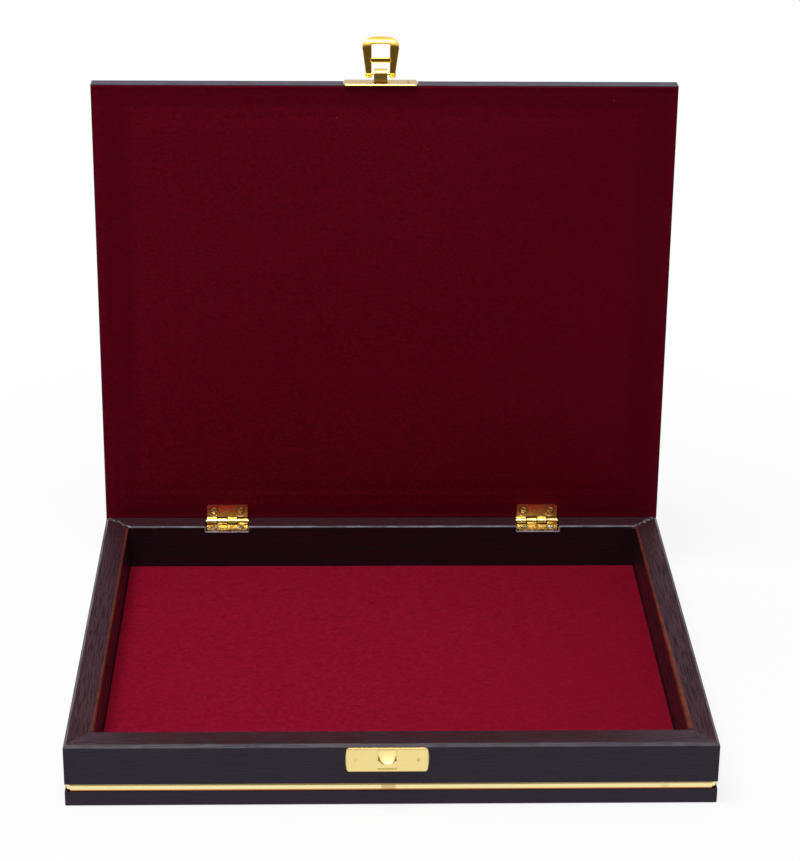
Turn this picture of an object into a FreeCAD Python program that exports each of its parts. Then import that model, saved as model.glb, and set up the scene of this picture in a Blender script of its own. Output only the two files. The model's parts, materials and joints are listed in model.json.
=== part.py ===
import FreeCAD, Part
import os
import re

import Sketcher

# A shallow presentation box, drawn with its lid standing open on its stop.
# Millimetres. X runs along the front, Y from front to back and Z up, from the middle of the underside.

SIZES = {
    # the base's frame
    "case_width": 260,
    "case_depth": 212,
    "base_height": 27.5,
    "wall": 11.2,
    "top_bevel": 1.2,
    "inner_bevel": 0.5,
    "bottom_bevel": 0.5,
    # the gilt strip let into the base
    "groove_bottom": 6.6,
    "groove_height": 3.4,
    "groove_depth": 1.6,
    "strip_thickness": 0.8,
    "strip_play": 0.1,
    # the floor
    "panel_thickness": 4,
    "rebate_width": 5.5,
    "panel_play": 0.2,
    "board_thickness": 2.5,
    "velvet_thickness": 0.7,
    "velvet_edge": 0.5,
    "lining_play": 0.3,
    # the lid
    "lid_rail_width": 11.2,
    "lid_rail_height": 5,
    "lid_panel_thickness": 4,
    "filler_play": 0.2,
    "velvet_inset": 0.4,
    "closed_gap": 0.2,
    "open_angle": 91.3,
    "back_bevel": 1.4,
    "stop_clearance": 0.1,
    # the hinges
    "hinge_spacing": 146,
    "hinge_inset": 2.6,
    "hinge_width": 19,
    "leaf_length": 8,
    "leaf_thickness": 0.8,
    "leaf_corner": 0.6,
    "knuckle_radius": 1.5,
    "knuckle_gap": 0.2,
    "notch_gap": 0.4,
    "pin_radius": 0.75,
    "pin_overhang": 0.4,
    "pin_clearance": 0.05,
    "mortise_play": 0.7,
    # the hinge screws
    "screw_spacing": 12.4,
    "screw_reach": 5.2,
    "screw_radius": 0.8,
    "screw_play": 0.1,
    "screw_head_radius": 1.6,
    "screw_head_height": 0.5,
    "screw_slot_width": 0.5,
    "screw_slot_depth": 0.3,
    "base_screw_length": 9,
    "lid_screw_length": 5.5,
    # both latch plates
    "latch_offset": -2.1,
    "plate_width": 33.2,
    "plate_thickness": 0.8,
    "plate_bulge": 0.7,
    "plate_corner": 1.2,
    "plate_edge": 0.3,
    "nail_spacing": 24.8,
    "nail_radius": 0.5,
    "nail_play": 0.05,
    "nail_head_radius": 0.75,
    "nail_head_height": 0.15,
    "nail_length": 7,
    # the latch on the lid
    "latch_height": 9.2,
    "latch_overhang": 0.8,
    "pivot_height": 3.1,
    "pivot_rise": 6.1,
    "tongue_radius": 2.5,
    "tongue_width": 5.9,
    "slot_width": 7.6,
    "slot_height": 0.9,
    "latch_pin_radius": 0.8,
    "latch_pin_overhang": 0.3,
    "hasp_thickness": 0.8,
    "eye_radius": 1.5,
    "hasp_foot": 13,
    "hasp_head": 16.2,
    "hasp_length": 17.3,
    "hasp_shoulder": 12,
    "arm_gap": 8,
    "bar_start": 5.55,
    "window_start": 7.75,
    "window_end": 13.85,
    "window_corner": 0.6,
    "flare_start": 12.6,
    "flare_radius": 6.5,
    "flare_angle": 60,
    # the strike on the base
    "strike_bottom": 15.5,
    "strike_height": 10.9,
    "seat_rise": 1.2,
    "seat_width": 7.7,
    "hook_root": 25.5,
    "hook_width": 7.2,
    "hook_drop": 5,
    "hook_reach": 3.1,
    "hook_curve": 9,
    "hook_tip_radius": 3.2,
    # how far a cutting outline runs past what it cuts
    "cut_margin": 1,
}

# Sizes and places worked out from those above. Those of the lid count from the hinge axis,
# with the lid shut: Y towards the back and Z up.
WORKED_OUT = {
    "cavity_width": "case_width - 2 * wall",
    "cavity_depth": "case_depth - 2 * wall",
    "groove_top": "groove_bottom + groove_height",
    "velvet_top": "panel_thickness + board_thickness + velvet_thickness",
    "hinge_y": "case_depth / 2 - hinge_inset",
    "hinge_z": "base_height + closed_gap - knuckle_radius",
    "mortise_floor": "hinge_z - knuckle_radius",
    "bevel_angle": "open_angle / 2",
    "back_bevel_drop": "back_bevel * tan(bevel_angle)",
    "lid_back": "hinge_inset",
    "lid_front": "hinge_inset - case_depth",
    "lid_face": "knuckle_radius",
    "lid_wood": "lid_face + velvet_thickness",
    "lid_panel_bottom": "lid_wood + lid_rail_height",
    "axis_to_rim": "base_height - hinge_z",
    "base_stop": "(hinge_inset - back_bevel) * sin(bevel_angle) + axis_to_rim * cos(bevel_angle)",
    "lid_bevel_start": "(lid_wood * cos(bevel_angle) - base_stop - stop_clearance) / sin(bevel_angle)",
    "velvet_back": "(lid_face * cos(bevel_angle) - base_stop - stop_clearance) / sin(bevel_angle)",
    "knuckle_pitch": "hinge_width / 4",
    "hook_length": "sqrt(hook_reach ^ 2 + hook_drop ^ 2)",
    "latch_bottom": "lid_face - latch_overhang",
    "latch_front": "lid_front - plate_thickness",
    "pivot_y": "latch_front - pivot_height",
    "pivot_z": "latch_bottom + pivot_rise",
    "latch_nail_z": "latch_bottom + latch_height / 2",
    "strike_nail_z": "strike_bottom + strike_height / 2",
    "crown_height": "hasp_length - hasp_shoulder",
    "crown_radius": "(hasp_head ^ 2 / 4 + crown_height ^ 2) / (2 * crown_height)",
}

doc = FreeCAD.newDocument("presentation_box")
sheet = doc.addObject("Spreadsheet::Sheet", "Sizes")
for row, (alias, number) in enumerate(SIZES.items(), 1):
    sheet.set(f"A{row}", alias)
    sheet.set(f"B{row}", str(number))
    sheet.setAlias(f"B{row}", alias)
doc.recompute()

sub_parts = []


def bound(text):
    """The expression that a property is bound to: names become cells, worked-out ones their formulas."""

    def spell(word):
        name = word[0]
        if name in SIZES:
            return "Sizes." + name
        if name in WORKED_OUT:
            return "(" + bound(WORKED_OUT[name]) + ")"
        return name

    return re.sub(r"[a-z]\w*", spell, str(text))


def number(text):
    return float(sheet.evalExpression(bound(text)))


def kept(sub_part, label):
    """Names a sub-part and puts it on the list of those that are written."""
    sub_part.Label = label
    sub_parts.append(sub_part)
    return sub_part


def placed(sub_part, x="0", y="0", z="0"):
    for letter, text in zip("xyz", (x, y, z)):
        sub_part.setExpression(f".Placement.Base.{letter}", bound(text))
    return sub_part


def turned(sub_part, side):
    """Places a piece that is drawn along X: a quarter turn about Z for each side after the front."""
    _, x, y = SIDES[side]
    quarter_turns = FreeCAD.Rotation(FreeCAD.Vector(0, 0, 1), 90 * list(SIDES).index(side))
    sub_part.Placement = FreeCAD.Placement(FreeCAD.Vector(), quarter_turns)
    return placed(sub_part, x, y)


def on_base_axis(sub_part, x="0"):
    return placed(sub_part, x, "hinge_y", "hinge_z")


def on_open_lid(sub_part, x="0"):
    """Places a piece that is drawn from the hinge axis with the lid shut."""
    back_over = FreeCAD.Rotation(FreeCAD.Vector(-1, 0, 0), SIZES["open_angle"])
    sub_part.Placement = FreeCAD.Placement(FreeCAD.Vector(), back_over)
    sub_part.setExpression(".Placement.Rotation.Angle", bound("open_angle"))
    return placed(sub_part, x, "hinge_y", "hinge_z")


def new_body(label):
    return doc.addObject("PartDesign::Body", label)


def new_sketch(body, role, offset="0"):
    sketch = body.newObject("Sketcher::SketchObject", body.Name + "_sketch")
    plane = next(feature for feature in body.Origin.OriginFeatures if feature.Role == role)
    sketch.AttachmentSupport = (plane, [""])
    sketch.MapMode = "FlatFace"
    sketch.setExpression(".AttachmentOffset.Base.z", bound(offset))
    return sketch


def arc_between(start, end, radius):
    """The short arc from start to end, bulging to the right of the way there (radius below 0: to the left)."""
    chord = end - start
    middle = (start + end) / 2
    right = FreeCAD.Vector(chord.y, -chord.x, 0).normalize()
    rise = abs(radius) - (radius**2 - chord.Length**2 / 4) ** 0.5
    return Part.Arc(start, middle + right * (rise if radius > 0 else -rise), end)


def draw_loop(sketch, corners):
    """A closed outline. A corner is (x, y), or (x, y, radius) where an arc runs on to the next corner."""
    first = sketch.GeometryCount
    count = len(corners)
    points = [FreeCAD.Vector(number(corner[0]), number(corner[1]), 0) for corner in corners]
    for index, corner in enumerate(corners):
        start = points[index]
        end = points[(index + 1) % count]
        if len(corner) == 3:
            sketch.addGeometry(arc_between(start, end, number(corner[2])))
        else:
            sketch.addGeometry(Part.LineSegment(start, end))
    is_forward = []
    for index, corner in enumerate(corners):
        start_point = sketch.getPoint(first + index, 1)
        is_forward.append(start_point.distanceToPoint(points[index]) < 1e-6)
    for index in range(count):
        here = first + index
        after = first + (index + 1) % count
        here_end = 2 if is_forward[index] else 1
        after_start = 1 if is_forward[(index + 1) % count] else 2
        sketch.addConstraint(Sketcher.Constraint("Coincident", here, here_end, after, after_start))
    for index, corner in enumerate(corners):
        start_end = 1 if is_forward[index] else 2
        place = points[index]
        hold(sketch, "DistanceX", (-1, 1, first + index, start_end), place.x, corner[0])
        hold(sketch, "DistanceY", (-1, 1, first + index, start_end), place.y, corner[1])
        if len(corner) == 3:
            hold(sketch, "Radius", (first + index,), abs(number(corner[2])), f"abs({corner[2]})")


def draw_circle(sketch, x, y, radius):
    centre = FreeCAD.Vector(number(x), number(y), 0)
    circle = sketch.addGeometry(Part.Circle(centre, FreeCAD.Vector(0, 0, 1), number(radius)))
    hold(sketch, "DistanceX", (-1, 1, circle, 3), centre.x, x)
    hold(sketch, "DistanceY", (-1, 1, circle, 3), centre.y, y)
    hold(sketch, "Radius", (circle,), number(radius), radius)


def hold(sketch, kind, points, now, text):
    index = sketch.addConstraint(Sketcher.Constraint(kind, *points, now))
    sketch.setExpression(f"Constraints[{index}]", bound(text))


def draw_box(sketch, left, bottom, right, top):
    draw_loop(sketch, [(left, bottom), (right, bottom), (right, top), (left, top)])


def draw_centred_box(sketch, width, depth, y="0"):
    draw_box(sketch, f"-({width}) / 2", f"{y} - ({depth}) / 2", f"({width}) / 2", f"{y} + ({depth}) / 2")


def pad(body, sketch, length, both_ways=False):
    feature = body.newObject("PartDesign::Pad", body.Name + "_pad")
    feature.Profile = sketch
    feature.setExpression("Length", bound(length))
    feature.SideType = "Symmetric" if both_ways else "One side"
    doc.recompute()
    return feature


def cut(body, sketch, depth=None, along_normal=False):
    """A pocket against the sketch's normal, or right through both ways if it has no depth."""
    before = body.Shape.Volume
    feature = body.newObject("PartDesign::Pocket", body.Name + "_pocket")
    feature.Profile = sketch
    if depth is None:
        feature.SideType = "Symmetric"
        feature.Type = "ThroughAll"
    else:
        feature.setExpression("Length", bound(depth))
        feature.Reversed = along_normal
    doc.recompute()
    if not body.Shape.Volume < before:
        raise RuntimeError(f"{feature.Name} cuts nothing")
    return feature


def dress(body, kind, size, wanted):
    """A Fillet or Chamfer on the edges of the body so far that wanted picks out."""
    base = body.Tip
    edges = [f"Edge{index}" for index, edge in enumerate(base.Shape.Edges, 1) if wanted(edge)]
    feature = body.newObject("PartDesign::" + kind, body.Name + "_" + kind.lower())
    feature.Base = (base, edges)
    feature.setExpression("Radius" if kind == "Fillet" else "Size", bound(size))
    doc.recompute()
    return feature


def runs_along(axis):
    """A test for the straight edges that run along that axis."""

    def test(edge):
        box = edge.BoundBox
        lengths = {"X": box.XLength, "Y": box.YLength, "Z": box.ZLength}
        return all((lengths[letter] > 1e-4) == (letter == axis) for letter in "XYZ")

    return test


def lies_at(axis, place):
    """A test for the edges that lie whole in the plane where that coordinate has that value."""
    letter = "XYZ".index(axis)
    here = number(place)

    def test(edge):
        box = edge.BoundBox
        low = (box.XMin, box.YMin, box.ZMin)[letter]
        high = (box.XMax, box.YMax, box.ZMax)[letter]
        return abs(low - here) < 1e-4 and abs(high - here) < 1e-4

    return test


# The base's rails. Each is drawn along X with its outer face on Y = 0 and turned to its side.
SIDES = {
    "front": ("case_width", "0", "-case_depth / 2"),
    "right": ("case_depth", "case_width / 2", "0"),
    "back": ("case_width", "0", "case_depth / 2"),
    "left": ("case_depth", "-case_width / 2", "0"),
}


def base_rail(side):
    length = SIDES[side][0]
    body = new_body(f"base_{side}_rail")
    bevel, drop = ("back_bevel", "back_bevel_drop") if side == "back" else ("top_bevel", "top_bevel")
    section = new_sketch(body, "YZ_Plane")
    draw_loop(
        section,
        [
            ("0", "bottom_bevel"),
            ("bottom_bevel", "0"),
            ("wall - rebate_width", "0"),
            ("wall - rebate_width", "panel_thickness"),
            ("wall", "panel_thickness"),
            ("wall", "base_height - inner_bevel"),
            ("wall - inner_bevel", "base_height"),
            (bevel, "base_height"),
            ("0", f"base_height - {drop}"),
            ("0", "groove_top"),
            ("groove_depth", "groove_top"),
            ("groove_depth", "groove_bottom"),
            ("0", "groove_bottom"),
        ],
    )
    pad(body, section, length, both_ways=True)
    cut_mitres(body, length)
    return turned(body, side)


def cut_mitres(body, length):
    mitres = new_sketch(body, "XY_Plane")
    for sign in ("-", ""):
        outer = f"{sign}({length} / 2 + cut_margin)"
        inner = f"{sign}({length} / 2 - wall - cut_margin)"
        draw_loop(mitres, [(outer, "-cut_margin"), (inner, "wall + cut_margin"), (outer, "wall + cut_margin")])
    cut(body, mitres)


def base_front_rail():
    body = base_rail("front")
    nails = new_sketch(body, "XZ_Plane")
    for x in nail_places("latch_offset"):
        draw_circle(nails, x, "strike_nail_z", "nail_radius + nail_play")
    cut(body, nails, "nail_length")
    kept(body, "base_front_rail")


def base_back_rail():
    body = base_rail("back")
    mortises = new_sketch(body, "XZ_Plane")
    for place in HINGE_PLACES.values():
        half = "(hinge_width / 2 + mortise_play)"
        draw_box(mortises, f"{place} - {half}", "mortise_floor", f"{place} + {half}", "base_height + cut_margin")
    cut(body, mortises)
    screws = new_sketch(body, "XY_Plane", "mortise_floor")
    for place in HINGE_PLACES.values():
        for x in screw_places(place):
            draw_circle(screws, x, "hinge_inset + screw_reach", "screw_radius + screw_play")
    cut(body, screws, "base_screw_length")
    kept(body, "base_back_rail")


def base_side_rail(side, back_end):
    """back_end is the sign of the rail's own X at the back, where the lid's stop runs over the mitre."""
    body = base_rail(side)
    stop = new_sketch(body, "XZ_Plane")
    end = f"{back_end} * (case_depth / 2 + cut_margin)"
    start = f"{back_end} * (case_depth / 2 - back_bevel - cut_margin)"
    above = "base_height + cut_margin * tan(bevel_angle)"
    below = "base_height - (back_bevel + cut_margin) * tan(bevel_angle)"
    draw_loop(stop, [(start, above), (end, below), (end, above)])
    cut(body, stop)
    kept(body, f"base_{side}_rail")


def inlay_strip(side):
    length = SIDES[side][0]
    body = new_body(f"inlay_strip_{side}")
    plan = new_sketch(body, "XY_Plane", "groove_bottom")
    outer = f"({length} / 2 - groove_depth + strip_thickness)"
    inner = f"({length} / 2 - groove_depth)"
    front = "groove_depth - strip_thickness"
    draw_loop(
        plan,
        [("-" + outer, front), (outer, front), (inner, "groove_depth"), ("-" + inner, "groove_depth")],
    )
    pad(body, plan, "groove_height - strip_play")
    kept(turned(body, side), f"inlay_strip_{side}")


# The floor
def block(label, width, depth, height, y, z, place=placed):
    """A plain sawn board, centred on X."""
    body = new_body(label)
    plan = new_sketch(body, "XY_Plane", z)
    draw_centred_box(plan, width, depth, y)
    pad(body, plan, height)
    return kept(place(body), label)


def bottom_panel():
    grown = "2 * rebate_width - 2 * panel_play"
    block("bottom_panel", f"cavity_width + {grown}", f"cavity_depth + {grown}", "panel_thickness", "0", "0")


def lining_board():
    around = "2 * lining_play + 2 * velvet_thickness"
    block(
        "lining_board",
        f"cavity_width - ({around})",
        f"cavity_depth - ({around})",
        "board_thickness",
        "0",
        "panel_thickness",
    )


def base_velvet():
    body = new_body("base_velvet")
    outside = new_sketch(body, "XY_Plane", "panel_thickness")
    draw_centred_box(outside, "cavity_width - 2 * lining_play", "cavity_depth - 2 * lining_play")
    pad(body, outside, "board_thickness + velvet_thickness")
    around = "2 * lining_play + 2 * velvet_thickness"
    inside = new_sketch(body, "XY_Plane", "panel_thickness")
    draw_centred_box(inside, f"cavity_width - ({around})", f"cavity_depth - ({around})")
    cut(body, inside, "board_thickness", along_normal=True)
    dress(body, "Chamfer", "velvet_edge", lies_at("Z", "velvet_top"))
    kept(body, "base_velvet")


# The lid, drawn from the hinge axis
def lid_rail(side, corners, is_beveled):
    body = new_body(f"lid_{side}_rail")
    plan = new_sketch(body, "XY_Plane", "lid_wood")
    draw_loop(plan, corners)
    pad(body, plan, "lid_rail_height")
    if is_beveled:
        cut_lid_stop(body)
    on_open_lid(body)
    return kept(body, f"lid_{side}_rail")


def cut_lid_stop(body):
    stop = new_sketch(body, "YZ_Plane")
    start = "lid_bevel_start - cut_margin"
    end = "lid_back + cut_margin"
    low = "lid_wood - cut_margin * tan(bevel_angle)"
    high = "lid_wood + (lid_back + cut_margin - lid_bevel_start) * tan(bevel_angle)"
    draw_loop(stop, [(start, low), (end, low), (end, high)])
    cut(body, stop)


def lid_rails():
    right = "case_width / 2"
    inner = "(case_width / 2 - lid_rail_width)"
    front_inner = "lid_front + lid_rail_width"
    back_inner = "lid_back - lid_rail_width"
    front = lid_rail(
        "front",
        [("-" + right, "lid_front"), (right, "lid_front"), (inner, front_inner), ("-" + inner, front_inner)],
        is_beveled=False,
    )
    nails = new_sketch(front, "XZ_Plane", "-(lid_front)")
    for x in nail_places("latch_offset"):
        draw_circle(nails, x, "latch_nail_z", "nail_radius + nail_play")
    cut(front, nails, "nail_length")
    back = lid_rail(
        "back",
        [("-" + right, "lid_back"), ("-" + inner, back_inner), (inner, back_inner), (right, "lid_back")],
        is_beveled=True,
    )
    cut_lid_screw_holes(back, "lid_wood", "lid_screw_length - leaf_thickness - velvet_thickness")
    for side, sign in (("left", "-"), ("right", "")):
        lid_rail(
            side,
            [
                (sign + right, "lid_front"),
                (sign + right, "lid_back"),
                (sign + inner, back_inner),
                (sign + inner, front_inner),
            ],
            is_beveled=True,
        )


def cut_lid_screw_holes(body, start, depth):
    screws = new_sketch(body, "XY_Plane", start)
    for place in HINGE_PLACES.values():
        for x in screw_places(place):
            draw_circle(screws, x, "-screw_reach", "screw_radius + screw_play")
    cut(body, screws, depth, along_normal=True)


def lid_top_panel():
    body = new_body("lid_top_panel")
    plan = new_sketch(body, "XY_Plane", "lid_panel_bottom")
    draw_centred_box(plan, "case_width", "case_depth", "lid_back - case_depth / 2")
    pad(body, plan, "lid_panel_thickness")
    dress(body, "Chamfer", "top_bevel", lies_at("Z", "lid_panel_bottom + lid_panel_thickness"))
    kept(on_open_lid(body), "lid_top_panel")


def lid_filler_board():
    around = "2 * lid_rail_width + 2 * filler_play"
    block(
        "lid_filler_board",
        f"case_width - ({around})",
        f"case_depth - ({around})",
        "lid_rail_height",
        "lid_back - case_depth / 2",
        "lid_wood",
        on_open_lid,
    )


def lid_velvet():
    body = new_body("lid_velvet")
    plan = new_sketch(body, "XY_Plane", "lid_face")
    side = "(case_width / 2 - velvet_inset)"
    draw_box(plan, "-" + side, "lid_front + velvet_inset", side, "velvet_back")
    pad(body, plan, "velvet_thickness")
    cut_lid_screw_holes(body, "lid_face", "velvet_thickness")
    kept(on_open_lid(body), "lid_velvet")


# The hinges, drawn from their axis. The base's leaf lies below it and the shut lid's above.
HINGE_PLACES = {"left": "(-hinge_spacing / 2)", "right": "(hinge_spacing / 2)"}
LEAVES = {
    "base": ("-", (1, 3), on_base_axis, "base_screw_length"),
    "lid": ("", (0, 2), on_open_lid, "lid_screw_length"),
}


def screw_places(centre):
    return [f"{centre} {sign} screw_spacing / 2" for sign in "-+"]


def nail_places(centre):
    return [f"{centre} {sign} nail_spacing / 2" for sign in "-+"]


def hinge_leaf(hand, half):
    sign, own_knuckles, place, _ = LEAVES[half]
    label = f"{hand}_hinge_{half}_leaf"
    body = new_body(label)
    section = new_sketch(body, "YZ_Plane")
    outside = f"{sign}knuckle_radius"
    inside = f"{sign}(knuckle_radius - leaf_thickness)"
    low, high = (outside, inside) if half == "base" else (inside, outside)
    draw_box(section, "-leaf_length", low, "0", high)
    pad(body, section, "hinge_width", both_ways=True)
    dress(body, "Chamfer", "leaf_corner", is_leaf_corner)
    barrel = new_sketch(body, "YZ_Plane")
    draw_circle(barrel, "0", "0", "knuckle_radius")
    pad(body, barrel, "hinge_width", both_ways=True)
    bore = new_sketch(body, "YZ_Plane")
    draw_circle(bore, "0", "0", "pin_radius + pin_clearance")
    cut(body, bore)
    notches = new_sketch(body, "XY_Plane")
    for knuckle in range(4):
        if knuckle not in own_knuckles:
            is_first = knuckle == 0
            is_last = knuckle == 3
            start = f"-hinge_width / 2 + {knuckle} * knuckle_pitch - "
            end = f"-hinge_width / 2 + {knuckle + 1} * knuckle_pitch + "
            start += "cut_margin" if is_first else "knuckle_gap / 2"
            end += "cut_margin" if is_last else "knuckle_gap / 2"
            draw_box(notches, start, "-knuckle_radius - notch_gap", end, "knuckle_radius + notch_gap")
    cut(body, notches)
    holes = new_sketch(body, "XY_Plane")
    for x in screw_places("0"):
        draw_circle(holes, x, "-screw_reach", "screw_radius + screw_play")
    cut(body, holes)
    kept(place(body, HINGE_PLACES[hand]), label)


def is_leaf_corner(edge):
    return runs_along("Z")(edge) and lies_at("Y", "-leaf_length")(edge)


def hinge_pin(hand):
    label = f"{hand}_hinge_pin"
    body = new_body(label)
    section = new_sketch(body, "YZ_Plane")
    draw_circle(section, "0", "0", "pin_radius")
    pad(body, section, "hinge_width + 2 * pin_overhang", both_ways=True)
    kept(on_base_axis(body, HINGE_PLACES[hand]), label)


def revolve(body, sketch):
    feature = body.newObject("PartDesign::Revolution", body.Name + "_revolution")
    feature.Profile = sketch
    feature.ReferenceAxis = (sketch, ["V_Axis"])
    feature.Angle = 360
    doc.recompute()
    return feature


def hinge_screws(hand, half):
    """The two screws of one leaf, with slotted heads on the leaf's open face."""
    sign, _, place, length = LEAVES[half]
    label = f"{hand}_hinge_{half}_screws"
    up = "" if half == "base" else "-"
    seat = f"{sign}(knuckle_radius - leaf_thickness)"
    top = f"{seat} + {up}screw_head_height"
    end = f"{seat} - {up}({length})"
    screws = []
    for x in screw_places(HINGE_PLACES[hand]):
        body = new_body(label + "_screw")
        section = new_sketch(body, "XZ_Plane", "screw_reach")
        draw_loop(
            section,
            [
                ("0", end),
                ("screw_radius", end),
                ("screw_radius", seat),
                ("screw_head_radius", seat),
                ("screw_head_radius", top),
                ("0", top),
            ],
        )
        revolve(body, section)
        slot = new_sketch(body, "XY_Plane", f"{seat} + {up}(screw_head_height - screw_slot_depth)")
        draw_centred_box(slot, "2 * screw_head_radius + cut_margin", "screw_slot_width", "-screw_reach")
        cut(body, slot, "screw_head_height", along_normal=half == "base")
        screws.append(place(body, x))
    group(label, screws)


def group(label, members):
    compound = doc.addObject("Part::Compound", label)
    compound.Links = members
    doc.recompute()
    return kept(compound, label)


# The latch. Its plates are drawn on the XZ plane and thicken towards the front.
def draw_plate(sketch, bottom, height):
    side = "(plate_width / 2 - plate_bulge)"
    bulge = f"(({height}) ^ 2 / 4 + plate_bulge ^ 2) / (2 * plate_bulge)"
    top = f"{bottom} + {height}"
    draw_loop(sketch, [("-" + side, bottom), (side, bottom, bulge), (side, top), ("-" + side, top, bulge)])


def dress_plate(body, front):
    """Rounds the plate's corners and breaks the edges of its front."""
    dress(body, "Fillet", "plate_corner", runs_along("Y"))
    dress(body, "Chamfer", "plate_edge", lies_at("Y", front))


def cut_nail_holes(body, z, face):
    holes = new_sketch(body, "XZ_Plane", face)
    for x in nail_places("0"):
        draw_circle(holes, x, z, "nail_radius + nail_play")
    cut(body, holes)


def latch_plate():
    body = new_body("latch_plate")
    outline = new_sketch(body, "XZ_Plane", "-(lid_front)")
    draw_plate(outline, "latch_bottom", "latch_height")
    pad(body, outline, "plate_thickness")
    dress_plate(body, "latch_front")
    cut_nail_holes(body, "latch_nail_z", "-(lid_front)")
    near = "pivot_z - tongue_radius"
    slot = new_sketch(body, "XZ_Plane", "-(lid_front)")
    draw_box(slot, "-slot_width / 2", f"{near} - slot_height", "slot_width / 2", near)
    cut(body, slot)
    neck = new_sketch(body, "YZ_Plane")
    draw_box(neck, "pivot_y", near, "latch_front", f"{near} + plate_thickness")
    pad(body, neck, "tongue_width", both_ways=True)
    curl = new_sketch(body, "YZ_Plane")
    draw_circle(curl, "pivot_y", "pivot_z", "tongue_radius")
    pad(body, curl, "tongue_width", both_ways=True)
    bore = new_sketch(body, "YZ_Plane")
    draw_circle(bore, "pivot_y", "pivot_z", "latch_pin_radius + pin_clearance")
    cut(body, bore)
    kept(on_open_lid(body, "latch_offset"), "latch_plate")


def latch_pin():
    body = new_body("latch_pin")
    section = new_sketch(body, "YZ_Plane")
    draw_circle(section, "pivot_y", "pivot_z", "latch_pin_radius")
    pad(body, section, "hasp_foot + 2 * latch_pin_overhang", both_ways=True)
    kept(on_open_lid(body, "latch_offset"), "latch_pin")


def latch_hasp():
    """The hasp swung half open: it points away from the lid's edge, with its grip flared outwards."""
    body = new_body("latch_hasp")
    inner = "pivot_z - eye_radius"
    outer = f"{inner} + hasp_thickness"
    bend = "pivot_y - flare_start"
    thin = "(flare_radius - hasp_thickness)"
    section = new_sketch(body, "YZ_Plane")
    draw_loop(
        section,
        [
            (bend, inner),
            ("pivot_y", inner),
            ("pivot_y", outer),
            (bend, outer, f"-{thin}"),
            (f"{bend} - {thin} * sin(flare_angle)", f"{inner} + flare_radius - {thin} * cos(flare_angle)"),
            (
                f"{bend} - flare_radius * sin(flare_angle)",
                f"{inner} + flare_radius - flare_radius * cos(flare_angle)",
                "flare_radius",
            ),
        ],
    )
    pad(body, section, "hasp_head + 2 * cut_margin", both_ways=True)
    eyes = new_sketch(body, "YZ_Plane")
    draw_circle(eyes, "pivot_y", "pivot_z", "eye_radius")
    pad(body, eyes, "hasp_head + 2 * cut_margin", both_ways=True)
    bore = new_sketch(body, "YZ_Plane")
    draw_circle(bore, "pivot_y", "pivot_z", "latch_pin_radius + pin_clearance")
    cut(body, bore)
    waste = new_sketch(body, "XY_Plane")
    behind = "pivot_y + eye_radius + cut_margin"
    draw_centred_box(
        waste,
        "hasp_head + 4 * cut_margin",
        "flare_start + flare_radius + eye_radius + 4 * cut_margin",
        "pivot_y - (flare_start + flare_radius - eye_radius) / 2",
    )
    shoulder = "pivot_y - hasp_shoulder"
    draw_loop(
        waste,
        [
            ("-hasp_head / 2", shoulder, "crown_radius"),
            ("hasp_head / 2", shoulder),
            ("hasp_foot / 2", "pivot_y"),
            ("hasp_foot / 2", behind),
            ("-hasp_foot / 2", behind),
            ("-hasp_foot / 2", "pivot_y"),
        ],
    )
    cut(body, waste)
    gaps = new_sketch(body, "XY_Plane")
    half = "arm_gap / 2"
    draw_box(gaps, "-" + half, "pivot_y - bar_start", half, behind)
    draw_box(gaps, "-" + half, "pivot_y - window_end", half, "pivot_y - window_start")
    cut(body, gaps)
    dress(body, "Chamfer", "window_corner", is_gap_corner)
    kept(on_open_lid(body, "latch_offset"), "latch_hasp")


def is_gap_corner(edge):
    return runs_along("Z")(edge) and abs(abs(edge.BoundBox.XMin) - number("arm_gap / 2")) < 1e-4


def strike_plate():
    body = new_body("strike_plate")
    outline = new_sketch(body, "XZ_Plane")
    draw_plate(outline, "strike_bottom", "strike_height")
    pad(body, outline, "plate_thickness")
    dress_plate(body, "-plate_thickness")
    cut_nail_holes(body, "strike_nail_z", "0")
    seat = new_sketch(body, "XZ_Plane", "plate_thickness")
    draw_box(seat, "-seat_width / 2", "strike_bottom + seat_rise", "seat_width / 2", "hook_root - seat_rise")
    cut(body, seat, "plate_thickness / 2")
    hook = new_sketch(body, "YZ_Plane")
    face = "-plate_thickness"
    draw_loop(
        hook,
        [
            ("-plate_thickness / 2", "hook_root"),
            (face, "hook_root", "-hook_curve"),
            (f"{face} - hook_reach", "hook_root - hook_drop"),
            (
                f"{face} - hook_reach + plate_thickness * hook_drop / hook_length",
                "hook_root - hook_drop - plate_thickness * hook_reach / hook_length",
                "hook_curve",
            ),
            (face, "hook_root - plate_thickness * hook_length / hook_reach"),
            ("-plate_thickness / 2", "hook_root - plate_thickness * hook_length / hook_reach"),
        ],
    )
    pad(body, hook, "hook_width", both_ways=True)
    dress(body, "Fillet", "hook_tip_radius", is_hook_corner)
    kept(placed(body, "latch_offset", "-case_depth / 2"), "strike_plate")


def is_hook_corner(edge):
    ends = [vertex.Point for vertex in edge.Vertexes]
    low = number("hook_root - hook_drop") + 1e-4
    is_side = all(abs(abs(end.x) - number("hook_width / 2")) < 1e-4 for end in ends)
    is_tip = all(end.z < low and end.y < -number("plate_thickness + hook_reach / 2") for end in ends)
    return len(ends) == 2 and is_side and is_tip and edge.BoundBox.XLength < 1e-4


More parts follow.
